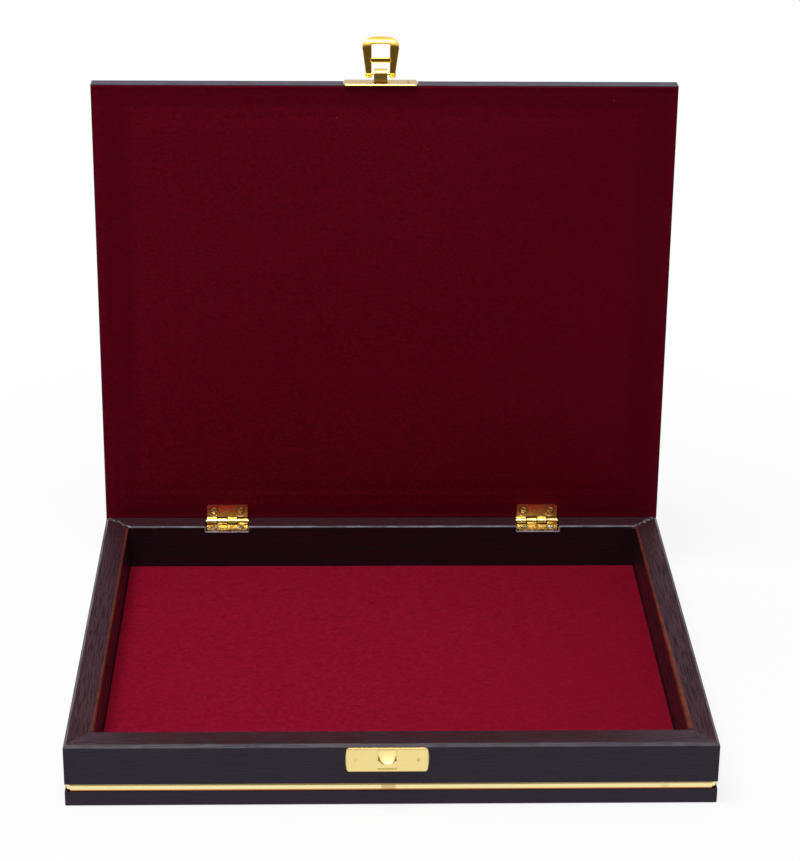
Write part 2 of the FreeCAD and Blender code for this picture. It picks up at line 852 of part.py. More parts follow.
def nails(label, z, face, place):
    """Two flat-headed nails through a plate whose front lies at that distance towards the front."""
    members = []
    for x in nail_places("latch_offset"):
        body = new_body(label + "_nail")
        section = new_sketch(body, "YZ_Plane")
        seat = f"-({face})"
        draw_loop(
            section,
            [
                (f"{seat} - nail_head_height", z),
                (f"{seat} - nail_head_height", f"{z} - nail_head_radius"),
                (seat, f"{z} - nail_head_radius"),
                (seat, f"{z} - nail_radius"),
                (f"{seat} + nail_length", f"{z} - nail_radius"),
                (f"{seat} + nail_length", z),
            ],
        )
        feature = body.newObject("PartDesign::Revolution", body.Name + "_revolution")
        feature.Profile = section
        axis_line = section.addGeometry(
            Part.LineSegment(FreeCAD.Vector(0, number(z), 0), FreeCAD.Vector(1, number(z), 0)), True
        )
        section.addConstraint(Sketcher.Constraint("Horizontal", axis_line))
        hold(section, "DistanceX", (-1, 1, axis_line, 1), 0, "0")
        hold(section, "DistanceY", (-1, 1, axis_line, 1), number(z), z)
        hold(section, "DistanceX", (axis_line, 1, axis_line, 2), 1, "cut_margin")
        feature.ReferenceAxis = (section, ["Axis0"])
        feature.Angle = 360
        doc.recompute()
        members.append(place(body, x))
    group(label, members)


def on_front_face(sub_part, x):
    return placed(sub_part, x, "-case_depth / 2")


base_front_rail()
base_back_rail()
base_side_rail("left", "-1")
base_side_rail("right", "1")
for side_name in SIDES:
    inlay_strip(side_name)
bottom_panel()
lining_board()
base_velvet()
lid_rails()
lid_top_panel()
lid_filler_board()
lid_velvet()
for hand_name in HINGE_PLACES:
    for half_name in LEAVES:
        hinge_leaf(hand_name, half_name)
        hinge_screws(hand_name, half_name)
    hinge_pin(hand_name)
latch_plate()
latch_pin()
latch_hasp()
nails("latch_nails", "latch_nail_z", "-(latch_front)", on_open_lid)
strike_plate()
nails("strike_nails", "strike_nail_z", "plate_thickness", on_front_face)

doc.recompute()
for item in doc.Objects:
    if "Invalid" in item.State or "Error" in item.State:
        raise RuntimeError(f"{item.Label} failed")
for sub_part in sub_parts:
    if sub_part.Shape.isNull() or not sub_part.Shape.isValid():
        raise RuntimeError(f"{sub_part.Label} has no valid shape")

os.makedirs("parts", exist_ok=True)
for sub_part in sub_parts:
    sub_part.Shape.exportStep(f"parts/{sub_part.Label}.step")
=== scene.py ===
"""Looks for a shallow presentation box with its lid open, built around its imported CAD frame.

Metres, in the CAD's own frame: X along the front, Y from front to back, Z up from the underside.
"""

import json
import math

import bmesh
import bpy
import numpy as np
from bpy.props import FloatProperty, FloatVectorProperty, PointerProperty
from mathutils import Matrix, Vector


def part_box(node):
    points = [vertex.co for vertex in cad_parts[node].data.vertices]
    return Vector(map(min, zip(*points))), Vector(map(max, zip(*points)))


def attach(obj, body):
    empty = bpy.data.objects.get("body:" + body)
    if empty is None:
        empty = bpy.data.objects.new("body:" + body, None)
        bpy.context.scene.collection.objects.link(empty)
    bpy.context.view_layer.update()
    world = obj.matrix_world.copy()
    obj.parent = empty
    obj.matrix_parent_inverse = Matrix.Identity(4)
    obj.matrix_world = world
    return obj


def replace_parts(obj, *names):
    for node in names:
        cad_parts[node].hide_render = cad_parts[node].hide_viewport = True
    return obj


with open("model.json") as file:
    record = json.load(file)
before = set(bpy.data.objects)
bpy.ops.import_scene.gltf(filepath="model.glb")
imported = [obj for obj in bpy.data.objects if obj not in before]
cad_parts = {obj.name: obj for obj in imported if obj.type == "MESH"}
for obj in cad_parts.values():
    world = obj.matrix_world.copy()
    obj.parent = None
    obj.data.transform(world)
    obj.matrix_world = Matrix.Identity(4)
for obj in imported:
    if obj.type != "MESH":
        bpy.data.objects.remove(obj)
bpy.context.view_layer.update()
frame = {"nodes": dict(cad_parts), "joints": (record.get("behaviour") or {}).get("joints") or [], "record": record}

bl_info = {
    "name": "Presentation Box",
    "version": (1, 0, 0),
    "blender": (4, 5, 0),
    "location": "View3D > Sidebar > Presentation Box",
    "description": "Dresses the packed frame of a presentation box in stained wood, velvet and brass",
    "category": "Object",
}

MM = 0.001
HINGE = next(joint for joint in frame["joints"] if joint["name"] == "lid_hinge")
HINGE_AXIS = np.array(HINGE["pos_m"])
OPEN_ANGLE = math.radians(HINGE["range_deg"][1])
CASE_HALF_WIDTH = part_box("base_front_rail")[1].x
CASE_HALF_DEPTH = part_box("base_right_rail")[1].y
RIM_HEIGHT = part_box("base_front_rail")[1].z
WALL = CASE_HALF_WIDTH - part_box("base_right_rail")[0].x
HANDS = ("left", "right")
# Painted shade for the wood's front face, dark and bluish.
FRONT_SHADE = (0.028, 0.02, 0.04)
LINT = (0.5, 0.3, 0.28)
# Painted shade for the gaps between the hinges' knuckles and round their screw heads.
HINGE_PAINTED_SHADE = (0.03, 0.015, 0.008)
# Painted shadow under the strike's hook.
HOOK_SHADE = (0.16, 0.05, 0.012)
# Painted reflection, warm and dark, for the gilt strip's lower edge.
PAINTED_STRIP_REFLECTION = (0.44, 0.11, 0.03)
BACK_OF_ROOM = (0.64, 0.68, 0.8)
WOOD_SHEEN, SIDE_SHEEN = 0.26, 0.12
HEAD_ROOM, HEAD_DOME = 0.5 * MM, 0.48 * MM
HASP_THICKNESS, HASP_CORNER, EYE_RADIUS = 0.8 * MM, 0.36 * MM, 1.5 * MM


def colour_setting(name, description, default):
    return FloatVectorProperty(name=name, description=description, subtype="COLOR", default=default, min=0, max=1)


def length_setting(name, description, default, low, high):
    return FloatProperty(
        name=name, description=description, subtype="DISTANCE", unit="LENGTH", default=default, min=low, max=high
    )


class WoodSettings(bpy.types.PropertyGroup):
    """The stained wood of the base and lid."""

    stain: colour_setting("Stain", "Colour of the stained wood between its pores", (0.046, 0.0125, 0.0165))
    # This colour also serves as the painted shade on the back rail's inner face.
    pore_and_shade: colour_setting("Pores", "Colour that the stain leaves in the open pores", (0.012, 0.005, 0.008))
    rubbed_and_reflection: colour_setting(
        "Rubbed edge",
        "Colour of the wood where the stain has rubbed off an inner edge",
        (0.19, 0.035, 0.014),
    )
    filler: colour_setting(
        "Filler",
        "Colour of the filler that shows at chipped edges and in the mitres",
        (0.48, 0.47, 0.52),
    )
    roughness: FloatProperty(
        name="Lacquer roughness",
        description="Roughness of the lacquer between the pores",
        subtype="FACTOR",
        default=0.3,
        min=0,
        max=1,
    )


class VelvetSettings(bpy.types.PropertyGroup):
    """The velvet on the floor and in the lid."""

    pile: colour_setting("Pile", "Colour of the velvet", (0.198, 0.0042, 0.0178))
    tip: length_setting("Pile tip", "Size of the tufts that the pile shows close by", 0.35 * MM, 0.05 * MM, 2 * MM)
    ripple: length_setting("Ripple", "Height of the slow waves in the glued cloth", 0.1 * MM, 0, 0.5 * MM)
    # Painted shade: the lid's velvet is the floor's pile darkened by this factor, for the lesser light on the upright
    # lid.
    lid_painted_dimming: FloatProperty(
        name="Lid painted shade",
        description="How much darker the pile is brushed in the lid than on the floor",
        subtype="FACTOR",
        default=0.61,
        min=0.3,
        max=1,
    )
    padding: length_setting(
        "Lid padding",
        "How far the padded middle of the lid stands above its margin",
        0.35 * MM,
        0,
        0.6 * MM,
    )


class MetalSettings(bpy.types.PropertyGroup):
    """The hinges, latch, screws and inlay."""

    brass: colour_setting("Brass", "Colour of the clean brass", (0.92, 0.74, 0.31))
    warm_brass: colour_setting("Warm brass", "Colour of the latch's plate", (0.95, 0.62, 0.16))
    deep_brass: colour_setting("Deep brass", "Colour of the redder brass of the hasp", (0.95, 0.54, 0.08))
    tarnish: colour_setting("Tarnish", "Colour of the brass where it has darkened", (0.42, 0.2, 0.05))
    gilt: colour_setting("Gilt", "Colour of the strip let into the base", (0.97, 0.84, 0.42))
    plating: colour_setting("Plating", "Colour of the plated screws in the base", (0.72, 0.68, 0.6))
    strip_crown: length_setting(
        "Strip crown",
        "How far the gilt strip bulges out of its groove",
        0.75 * MM,
        0.1 * MM,
        0.8 * MM,
    )


class StageSettings(bpy.types.PropertyGroup):
    """The floor, the light and the camera."""

    paper: colour_setting("Paper", "Colour of the floor", (0.9, 0.9, 0.9))
    key_power: FloatProperty(
        name="Key light",
        description="Power of the soft light overhead",
        subtype="POWER",
        unit="POWER",
        default=17.5,
        min=0,
        max=100,
    )
    surroundings: FloatProperty(
        name="Surroundings",
        description="Brightness of the room in front of the box",
        subtype="FACTOR",
        default=0.1,
        min=0,
        max=1,
    )
    focal_length: FloatProperty(
        name="Focal length",
        description="Focal length of the camera on a 36 mm frame",
        subtype="DISTANCE_CAMERA",
        unit="CAMERA",
        default=104.32,
        min=20,
        max=300,
    )


class Value:
    """A shader socket that takes part in Python sums: each operator adds a Math node."""

    def __init__(self, finish, socket):
        self.finish = finish
        self.socket = socket

    def math(self, operation, first, second):
        return self.finish.node("ShaderNodeMath", {"operation": operation}, {0: first, 1: second})

    def __add__(self, other):
        return self.math("ADD", self, other)

    def __radd__(self, other):
        return self.math("ADD", other, self)

    def __sub__(self, other):
        return self.math("SUBTRACT", self, other)

    def __rsub__(self, other):
        return self.math("SUBTRACT", other, self)

    def __mul__(self, other):
        return self.math("MULTIPLY", self, other)

    def __rmul__(self, other):
        return self.math("MULTIPLY", other, self)

    def __truediv__(self, other):
        return self.math("DIVIDE", self, other)

    def __abs__(self):
        return self.finish.node("ShaderNodeMath", {"operation": "ABSOLUTE"}, {0: self})


class Finish:
    """A node tree under construction, of a material or of the world."""

    def __init__(self, owner):
        owner.use_nodes = True
        self.owner = owner
        self.tree = owner.node_tree
        self.tree.nodes.clear()

    def node(self, kind, settings=None, sockets=None, output=0):
        """Adds a node: its type, its settings, then the value or link of each socket. Gives one output."""
        made = self.tree.nodes.new(kind)
        for name, setting in (settings or {}).items():
            setattr(made, name, setting)
        for name, given in (sockets or {}).items():
            if isinstance(given, Value):
                self.tree.links.new(given.socket, made.inputs[name])
            elif hasattr(given, "__len__") and made.inputs[name].type == "RGBA":
                made.inputs[name].default_value = (*given[:3], 1)
            else:
                made.inputs[name].default_value = given
        return Value(self, made.outputs[output]) if made.outputs else None

    def object_place(self):
        return self.node("ShaderNodeTexCoord", output="Object")

    def axes(self, vector):
        return [self.node("ShaderNodeSeparateXYZ", {}, {"Vector": vector}, axis) for axis in "XYZ"]

    def stretched(self, vector, scale):
        return self.node("ShaderNodeMapping", {}, {"Vector": vector, "Scale": scale})

    def noise(self, vector, scale=1, detail=2, roughness=0.5):
        sockets = {"Vector": vector, "Scale": scale, "Detail": detail, "Roughness": roughness}
        return self.node("ShaderNodeTexNoise", {}, sockets, "Fac")

    def step(self, value, start, end):
        """0 where value is at start or before it and 1 from end on, smooth between."""
        sockets = {"Value": value, "From Min": start, "From Max": end}
        return self.node("ShaderNodeMapRange", {"interpolation_type": "SMOOTHSTEP"}, sockets)

    def least(self, first, second):
        return self.node("ShaderNodeMath", {"operation": "MINIMUM"}, {0: first, 1: second})

    def most(self, first, second):
        return self.node("ShaderNodeMath", {"operation": "MAXIMUM"}, {0: first, 1: second})

    def mix(self, factor, first, second):
        return self.node("ShaderNodeMix", {"data_type": "RGBA"}, {0: factor, 6: first, 7: second}, 2)

    def bump(self, height, distance, strength=1.0):
        return self.node("ShaderNodeBump", {}, {"Height": height, "Distance": distance, "Strength": strength})

    def surface(self, **sockets):
        """Ends a material in a Principled shader; base_color stands for its Base Color socket, and so on."""
        named = {name.replace("_", " ").title().replace("Ior", "IOR"): given for name, given in sockets.items()}
        shader = self.node("ShaderNodeBsdfPrincipled", {}, named)
        self.node("ShaderNodeOutputMaterial", {}, {"Surface": shader})
        return self.owner


def new_finish(name):
    return Finish(bpy.data.materials.new(name))


def paint(nodes, material):
    """Puts a material in the slots of CAD nodes."""
    for name in nodes:
        for slot in frame["nodes"][name].material_slots:
            slot.material = material


def opened(points):
    """Turns points of the shut lid, counted from the hinge axis, about that axis to where the lid stands open."""
    cosine, sine = math.cos(OPEN_ANGLE), math.sin(OPEN_ANGLE)
    turn = np.array([[1, 0, 0], [0, cosine, sine], [0, -sine, cosine]])
    return points @ turn.T + HINGE_AXIS


def shut(points):
    """Turns points of the open lid to where they lie with the lid shut, counted from the hinge axis."""
    cosine, sine = math.cos(OPEN_ANGLE), math.sin(OPEN_ANGLE)
    turn = np.array([[1, 0, 0], [0, cosine, -sine], [0, sine, cosine]])
    return (points - HINGE_AXIS) @ turn.T


def shut_box(node):
    """The lowest and highest corner of a node of the open lid, as if the lid were shut, from the hinge axis."""
    mesh = frame["nodes"][node].data
    points = np.empty(len(mesh.vertices) * 3)
    mesh.vertices.foreach_get("co", points)
    points = shut(points.reshape(-1, 3))
    return points.min(0), points.max(0)


def grid_faces(rows, columns):
    """The quads of a grid of points, counted row by row."""
    index = np.arange(rows * columns).reshape(rows, columns)
    corners = [index[:-1, :-1], index[:-1, 1:], index[1:, 1:], index[1:, :-1]]
    return np.stack(corners, axis=-1).reshape(-1, 4)


def new_piece(name, points, faces, material, body):
    """Makes a smooth mesh of the points and faces, welds points that coincide, and lets it ride on a body."""
    mesh = bpy.data.meshes.new(name)
    mesh.from_pydata(points.reshape(-1, 3).tolist(), [], faces.tolist())
    welded = bmesh.new()
    welded.from_mesh(mesh)
    bmesh.ops.remove_doubles(welded, verts=welded.verts, dist=1e-7)
    welded.to_mesh(mesh)
    welded.free()
    mesh.shade_smooth()
    mesh.materials.append(material)
    piece = bpy.data.objects.new(name, mesh)
    bpy.context.scene.collection.objects.link(piece)
    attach(piece, body)
    return piece


def smooth_step(value, start, end):
    part = np.clip((value - start) / (end - start), 0, 1)
    return part * part * (3 - 2 * part)


def ripples(x, y, length, seed):
    """Slow waves between -1 and 1: the mean of a dozen sines that run in all directions."""
    random = np.random.default_rng(seed)
    way = random.uniform(0, 2 * np.pi, 12)
    pace = 2 * np.pi / (length * random.uniform(0.6, 1.8, 12))
    start = random.uniform(0, 2 * np.pi, 12)
    along = x[..., None] * np.cos(way) + y[..., None] * np.sin(way)
    return np.sin(along * pace + start).mean(-1)


def covering_steps(half, bend, spacing):
    """Places across a covering: its rim twice, close steps round the bend, then even steps to the other rim."""
    round_bend = half - bend * (1 - np.cos(np.linspace(0, np.pi / 2, 5)))
    count = math.ceil(2 * (half - bend) / spacing)
    level = np.linspace(bend - half, half - bend, count + 1)[1:-1]
    return np.concatenate([[-half], -round_bend, level, round_bend[::-1], [half]])


def covering(half_width, half_depth, bend, fall, spacing, relief):
    """A cloth over a board: level, down a quarter-round of radius bend near the rim, then straight to -fall.

    With d the distance to the nearest rim, the height is the relief less bend - sqrt(bend^2 - (bend - d)^2).
    """
    x, y = np.meshgrid(covering_steps(half_width, bend, spacing), covering_steps(half_depth, bend, spacing))
    across, along = half_width - abs(x), half_depth - abs(y)
    rim = np.minimum(across, along)
    inside = np.clip(bend - rim, 0, bend)
    height = np.sqrt(bend**2 - inside**2) - bend
    height += relief(x, y, across, along) * smooth_step(rim, 0, 3 * bend)
    height[[0, -1], :] = -fall
    height[:, [0, -1]] = -fall
    return np.stack([x, y, height], axis=-1), grid_faces(*x.shape)


def covering_size(half_width, half_depth, bend, fall):
    """The flat width and length of the cloth that a covering takes."""
    turned_down = bend * math.pi / 2 + fall - bend
    return [2 * (half - bend + turned_down) for half in (half_width, half_depth)]


def joined(*shells):
    """One array of points and one of faces for several shells of quads."""
    counts = [len(points.reshape(-1, 3)) for points, _ in shells]
    starts = np.cumsum([0, *counts[:-1]])
    points = np.concatenate([points.reshape(-1, 3) for points, _ in shells])
    return points, np.concatenate([faces + start for (_, faces), start in zip(shells, starts)])


def lathe(radius, height, sides):
    """A closed turning: a closed profile of radii and heights, run up its outer side, swept round Z."""
    turn = np.linspace(0, 2 * np.pi, sides + 1)[:, None]
    points = np.stack([radius * np.cos(turn), radius * np.sin(turn), height + 0 * turn], axis=-1)
    return points, grid_faces(sides + 1, len(radius))[:, ::-1]


def capped(rings):
    """Closes a row of rings: each end ring is drawn in to its middle."""
    ends = [np.broadcast_to(ring.mean(0), (1, *ring.shape)) for ring in (rings[0], rings[-1])]
    rings = np.concatenate([ends[0], rings, ends[1]])
    return rings, grid_faces(*rings.shape[:2])


def strap(inner, outer, thickness, corner):
    """A flat strap between two edges, with rounded sides: a rounded oblong carried along the middle of the edges.

    Across the strap the oblong reaches half the gap less the corner, plus corner * cos; through it, corner * sin
    and what is left of the thickness. Its front is crowned a little, as pressed metal is.
    """
    middle, reach = (inner + outer) / 2, (outer - inner) / 2
    half = np.linalg.norm(reach, axis=1, keepdims=True)
    turn = np.linspace(0, 2 * np.pi, 33)
    part = np.sign(np.cos(turn)) * (1 - corner / half) + corner / half * np.cos(turn)
    flat = middle[:, None] + part[..., None] * reach[:, None]
    crown = 0.3 * thickness * (1 - part**2) * (np.sin(turn) < 0)
    depth = thickness / 2 * np.sign(np.sin(turn)) * np.abs(np.sin(turn)) ** 0.5 - crown
    return capped(np.concatenate([flat, depth[..., None]], axis=-1))


def tube(path, radius, across, sides):
    """A closed tube: a ring of that many sides about each point of a path that lies square to the vector across."""
    way = np.gradient(path, axis=0)
    way /= np.linalg.norm(way, axis=1, keepdims=True)
    level = np.cross(across, way)
    turn = np.linspace(0, 2 * np.pi, sides + 1)
    ring = np.cos(turn)[None, :, None] * level[:, None] + np.sin(turn)[None, :, None] * across
    return capped(path[:, None] + radius[:, None, None] * ring)


def shut_place(finish, place):
    """Where a point of the open lid lies with the lid shut."""
    lift = HINGE_AXIS - Matrix.Rotation(OPEN_ANGLE, 3, "X") @ Vector(HINGE_AXIS)
    return finish.node("ShaderNodeMapping", {}, {"Vector": place, "Rotation": (OPEN_ANGLE, 0, 0), "Location": lift})


def wood_finish(name, grain, is_lid):
    """Dark stained open-pored wood under satin lacquer, with worn inner edges and filler in the mitres. The front
    face and the back rail's inner face carry painted shade, and the paler outer and back edges are partly painted
    highlight.
    """
    settings = bpy.context.scene.presentation_box_wood
    finish = new_finish(name)
    place = finish.object_place()
    if is_lid:
        place = shut_place(finish, place)
    along = "XYZ".index(grain)

    def run(length, width):
        """The place in the wood, counted in streaks of that length and width."""
        return finish.stretched(place, [1 / (length if axis == along else width) for axis in range(3)])

    figure = finish.noise(run(90 * MM, 7 * MM), detail=3)
    fibre = finish.noise(run(14 * MM, 0.6 * MM), detail=2)
    pores = finish.step(finish.noise(run(14 * MM, 0.5 * MM), detail=2), 0.5, 0.62)
    x, y, z = finish.axes(place)
    # The front face: half its pores, and its colour drawn halfway to a dark bluish painted shade.
    front_face = 1 - finish.step(y + CASE_HALF_DEPTH, 0.1 * MM, 0.5 * MM)
    pores = pores * (1 - 0.5 * front_face)
    colour = finish.mix(finish.step(figure, 0.3, 0.7), [0.8 * part for part in settings.stain], settings.stain)
    colour = finish.mix(finish.step(fibre, 0.35, 0.75) * 0.35, colour, [1.6 * part for part in settings.stain])
    colour = finish.mix(pores * 0.75, colour, settings.pore_and_shade)
    colour = finish.mix(0.5 * front_face, colour, FRONT_SHADE)

    from_side = CASE_HALF_WIDTH - abs(x)
    from_end = CASE_HALF_DEPTH - abs(y)
    outside = finish.least(from_side, from_end)
    top = shut_box("lid_top_panel")[1][2] + HINGE_AXIS[2] if is_lid else RIM_HEIGHT
    depth = top - z
    patchy = finish.step(finish.noise(place, 1 / (6 * MM), detail=3), 0.35, 0.65)
    # Paler towards the filler along the outer top edges: partly wear, partly a painted highlight on the rounded edge.
    outer_edge = 1 - finish.step(finish.most(outside, depth), 0.8 * MM, 1.5 * MM)
    colour = finish.mix(outer_edge * (0.12 + 0.06 * patchy), colour, settings.filler)
    height = 0.3 * fibre - pores
    if not is_lid:
        at_back = finish.step(y, 0.5 * CASE_HALF_DEPTH, 0.8 * CASE_HALF_DEPTH)
        from_mitre = abs(from_side - from_end)
        mitre = 1 - finish.step(from_mitre, 0.1 * MM, 0.3 * MM)
        chips = finish.step(finish.noise(run(2.5 * MM, 0.7 * MM), detail=2), 0.56, 0.62)
        chipped = chips * (1 - finish.step(from_mitre, 0.6 * MM, 2.4 * MM)) * (1 - finish.step(depth, 1 * MM, 2 * MM))
        worn_mitre = finish.most(mitre * patchy * (1 - finish.step(depth, 0.6 * MM, 1 * MM)), chipped)
        worn_mitre = worn_mitre * (0.1 + 0.8 * at_back)
        colour = finish.mix(0.7 * worn_mitre, colour, settings.filler)
        # Painted shade on the back rail's inner face, down in the box: drawn halfway to the pore colour, its grain
        # flattened.
        back_wall_painted_shade = at_back * finish.step(from_end, WALL - 0.4 * MM, WALL - 0.1 * MM) * finish.step(depth, 0, 1 * MM)
        colour = finish.mix(0.5 * back_wall_painted_shade, colour, settings.pore_and_shade)
        height = height * (1 - 0.8 * back_wall_painted_shade)
        from_corner = finish.most(abs(WALL - outside), depth)
        front_right = finish.step(0.4 * x - y, 0, 0.12)
        side_edge = 1 - finish.step(from_corner - 1.2 * MM * front_right, 0.6 * MM, 1.1 * MM)
        side_edge = side_edge * finish.step(from_end, WALL, WALL + 2 * MM)
        colour = finish.mix(side_edge * (0.45 + 0.4 * patchy), colour, settings.rubbed_and_reflection)
        # Paler along the back rail's inner top edge: partly chipped filler, partly a painted highlight on its rounded
        # edge.
        back_edge = 1 - finish.step(from_corner, 0.5 * MM, 0.8 * MM)
        back_edge = back_edge * at_back * finish.step(from_side, WALL, WALL + 1 * MM)
        colour = finish.mix(back_edge * (0.2 + 0.2 * patchy), colour, settings.filler)
    roughness = settings.roughness + 0.12 * (fibre - 0.5) + 0.3 * pores + 0.15 * outer_edge * patchy
    return finish.surface(
        base_color=colour,
        roughness=roughness,
        ior=1.46,
        specular_ior_level=WOOD_SHEEN if is_lid or grain == "X" else SIDE_SHEEN,
        specular_tint=(0.5, 0.8, 1, 1),
        normal=finish.bump(height, 0.14 * MM, 0.8),
    )


def board_finish(name):
    """Raw hardboard: pressed fibres without a grain."""
    colour = next(m["base_color"] for m in frame["record"]["materials"] if m["slot"] == "plain_board")
    finish = new_finish(name)
    place = finish.object_place()
    flecks = finish.noise(place, 1 / (1.2 * MM), detail=4)
    clouds = finish.noise(place, 1 / (25 * MM), detail=2)
    shade = finish.mix(finish.step(flecks, 0.3, 0.7), [0.6 * part for part in colour], colour)
    shade = finish.mix(0.4 * finish.step(clouds, 0.3, 0.7), shade, [0.75 * part for part in colour])
    return finish.surface(base_color=shade, roughness=0.75 + 0.2 * flecks, normal=finish.bump(flecks, 0.1 * MM, 0.4))


def velvet_finish(name, painted_dimming=1.0, is_lid=False):
    """Short-pile velvet: tufts, brushed patches and a few specks of lint, with painted shade towards the right and,
    in the lid, along the margin. The second argument, below 1, darkens the whole pile as painted shade.
    """
    settings = bpy.context.scene.presentation_box_velvet
    pile = [painted_dimming * part for part in settings.pile]
    finish = new_finish(name)
    place = finish.object_place()
    tufts = finish.noise(place, 1 / settings.tip, detail=2, roughness=0.6)
    clumps = finish.noise(finish.stretched(place, (0.7, 1, 1)), 1 / (1.3 * MM), detail=3, roughness=0.6)
    brushed = finish.noise(place, 1 / (22 * MM), detail=3)
    shade = finish.mix(finish.step(tufts, 0.25, 0.75), [0.75 * part for part in pile], pile)
    shade = finish.mix(finish.step(clumps, 0.28, 0.72), shade, [1.5 * part for part in pile])
    shade = finish.mix(0.3 * finish.step(brushed, 0.35, 0.65), shade, [1.15 * part for part in pile])
    weave = finish.noise(finish.stretched(place, (0.4, 1, 1)), 1 / (2.2 * MM), detail=2)
    shade = finish.mix(0.45 * finish.step(weave, 0.35, 0.65), shade, [1.3 * part for part in pile])
    # Painted shade: the pile darker towards the right.
    x, _, _ = finish.axes(place)
    shade = finish.mix(0.5 * finish.step(x, 0, 0.12), shade, [0.85 * part for part in pile])
    if is_lid:
        x, y, _ = finish.axes(shut_place(finish, place))
        rim = finish.least(CASE_HALF_WIDTH - abs(x), 1.6 * (CASE_HALF_DEPTH - abs(y)))
        # In the lid, painted shade in a band inside the rim, where the padded lining slopes down.
        margin = (1 - finish.step(rim, 13 * MM, 20 * MM)) * finish.step(rim, 0, 6 * MM)
        shade = finish.mix(0.5 * margin, shade, [0.78 * part for part in pile])
    cells = finish.node("ShaderNodeTexVoronoi", {}, {"Vector": place, "Scale": 1 / (18 * MM)}, "Distance")
    lint = 1 - finish.step(cells, 0.008, 0.016)
    shade = finish.mix(0.35 * lint, shade, LINT)
    return finish.surface(
        base_color=shade,
        roughness=0.95,
        specular_ior_level=0.0,
        sheen_weight=0.05,
        sheen_roughness=0.4,
        sheen_tint=(1, 0.06, 0.16, 1),
        normal=finish.bump(tufts + 1.5 * clumps, 0.3 * MM, 0.5),
    )


def hinge_shade_mask(finish, place, screw_node, axis):
    """1 in the gaps between a hinge's knuckles and round its screws, where shade is painted, and 0 elsewhere.

    The hinges stand as far left as right of the middle, so distances across are taken from |x|.
    """
    low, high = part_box(f"right_hinge_{screw_node}")
    leaf_low, leaf_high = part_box("right_hinge_base_leaf")
    middle, width = (leaf_low.x + leaf_high.x) / 2, leaf_high.x - leaf_low.x
    x, y, z = finish.axes(place)
    across = abs(abs(x) - middle)
    head = (high[axis] - low[axis]) / 2
    level = (y, z)[axis - 1] - (high[axis] + low[axis]) / 2
    from_screw = abs(across - ((high.x - low.x) / 2 - head))
    shade = 1 - finish.step(from_screw * from_screw + level * level, (1.05 * head) ** 2, (1.5 * head) ** 2)
    from_gap = finish.least(across, abs(across - width / 4))
    gap = 1 - finish.step(from_gap, 0.18 * MM, 0.34 * MM)
    behind, above = y - HINGE_AXIS[1], z - HINGE_AXIS[2]
    knuckle = 1 - finish.step(behind * behind + above * above, (1.6 * MM) ** 2, (1.8 * MM) ** 2)
    return finish.most(0.7 * shade, gap * knuckle)


def plate_rim(finish, place, node):
    """1 along the rim of an upright plate and 0 from about 1 mm inside it."""
    low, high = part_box(node)
    x, _, z = finish.axes(place)
    from_end = (high.x - low.x) / 2 - abs(x - (high.x + low.x) / 2)
    from_top = high.z - z
    return 1 - finish.step(finish.least(finish.least(from_end, z - low.z), 0.6 * from_top), 0.15 * MM, 0.75 * MM)


def hook_swell(finish, place):
    """The strike's hook: the millimetres by which it swells, and 1 on its lower rim, where shadow is painted; both
    are 0 off the hook.
    """
    low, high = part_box("strike_plate")
    x, _, z = finish.axes(place)
    half_width, half_height, drop, edge = 3.6, 2.6, 3.4, 0.1
    across = (x - (low.x + high.x) / 2) / MM
    up = (z - high.z) / MM + drop
    beside = finish.step(abs(across), half_width, half_width + edge)
    on_hook = (1 - beside) * (1 - finish.step(abs(up + edge), half_height, half_height + edge))
    swell = on_hook * (0.08 * across - 0.02 * across * across - 0.25 * up - 0.045 * up * up)
    below = finish.least(up, 0) / (half_height + edge)
    lower = 1 - finish.step(up, -0.6, 0.8)
    rim = on_hook * lower * finish.step(across * across / 14 + below * below, 0.5, 0.8)
    return swell, rim


def brass_finish(name, tarnish, roughness, colour="brass", screws=None, axis=1, rim=None):
    """Polished brass with worn, darkened patches and fine scratches, and painted shade where asked: in the hinges'
    knuckle gaps and round their screws, along the strike plate's rim and under its hook. tarnish is the share that
    has darkened.
    """
    settings = bpy.context.scene.presentation_box_metal
    finish = new_finish(name)
    place = finish.object_place()
    patches = finish.noise(place, 1 / (3.5 * MM), detail=4, roughness=0.6)
    darkened = finish.step(patches, 0.68 - 0.5 * tarnish, 0.92 - 0.5 * tarnish)
    scratches = finish.noise(finish.stretched(place, (1 / (4 * MM), 1 / (0.2 * MM), 1 / (0.2 * MM))), detail=2)
    specks = finish.step(finish.noise(place, 1 / (0.5 * MM), detail=1), 0.66, 0.76)
    colour = finish.mix(darkened * min(1, 0.35 + tarnish), getattr(settings, colour), settings.tarnish)
    colour = finish.mix((0.15 + 0.5 * tarnish) * specks, colour, settings.tarnish)
    if screws:
        # Painted shade in the knuckle gaps and round the screw heads.
        colour = finish.mix(hinge_shade_mask(finish, place, screws, axis), colour, HINGE_PAINTED_SHADE)
    relief = 0.008 * scratches
    if rim:
        # The strike plate darker along its rim: painted shade of its rounded edges.
        colour = finish.mix(0.5 * plate_rim(finish, place, rim), colour, settings.tarnish)
        swell, hook_painted_shade = hook_swell(finish, place)
        # Painted shadow along the hook's lower rim.
        colour = finish.mix(0.9 * hook_painted_shade, colour, HOOK_SHADE)
        relief = relief + swell
    return finish.surface(
        base_color=colour,
        metallic=1.0,
        roughness=roughness + 0.12 * darkened + 0.12 * (scratches - 0.5),
        normal=finish.bump(relief, MM),
    )


